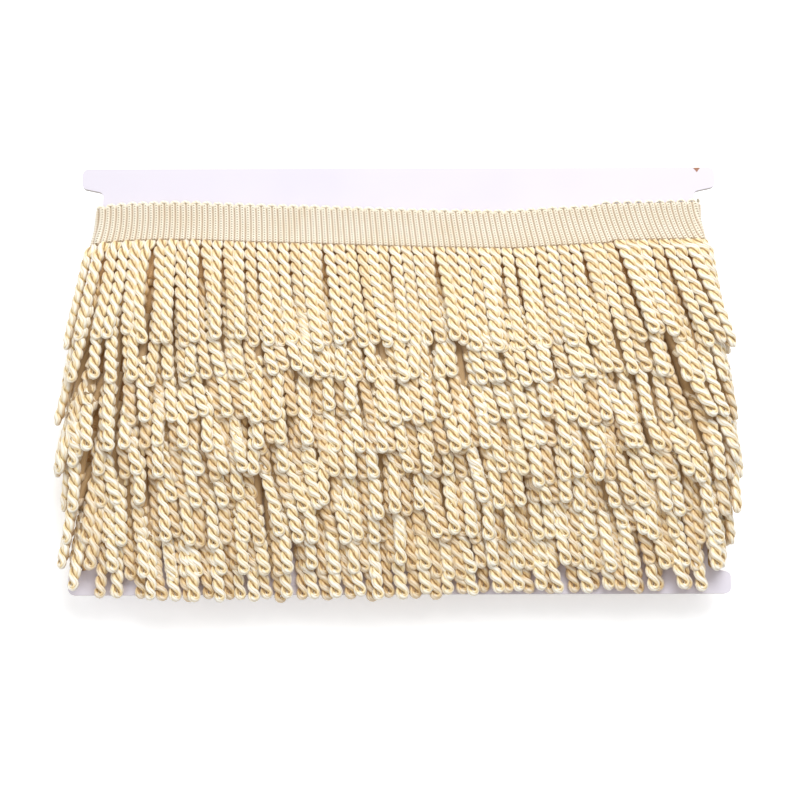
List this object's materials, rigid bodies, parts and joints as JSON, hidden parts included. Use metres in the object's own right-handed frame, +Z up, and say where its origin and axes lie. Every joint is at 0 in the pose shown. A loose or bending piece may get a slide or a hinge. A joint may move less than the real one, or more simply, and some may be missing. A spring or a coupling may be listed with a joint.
{
  "type": "bullion fringe trim on winding card",
  "caption": "Cream twisted bullion fringe trim with a ribbed knitted heading, wound in overlapping passes round a flat white winding card with lugs.",
  "frame": {"origin": "middle of the bounding box's underside, on the surface that the wound card lies on", "axes": "+X across the card, +Y towards its upper edge, +Z up through its front face"},
  "size_m": [0.3087, 0.2002, 0.031],
  "materials": {
    "card": "smooth white board with a faint grain",
    "heading": "ribbed rayon knit, soft sheen",
    "fringe": "twisted rayon bullion, satin sheen"
  },
  "bodies": {
    "root": {"winding_card": "card", "heading_1": "heading", "heading_2": "heading", "heading_3": "heading", "heading_4": "heading", "heading_5": "heading", "heading_6": "heading", "heading_7": "heading", "heading_8": "heading", "heading_9": "heading", "fringe_1": "fringe", "fringe_2": "fringe", "fringe_3": "fringe", "fringe_4": "fringe", "fringe_5": "fringe", "fringe_6": "fringe", "fringe_7": "fringe", "fringe_8": "fringe", "fringe_9": "fringe"}
  },
  "joints": []
}
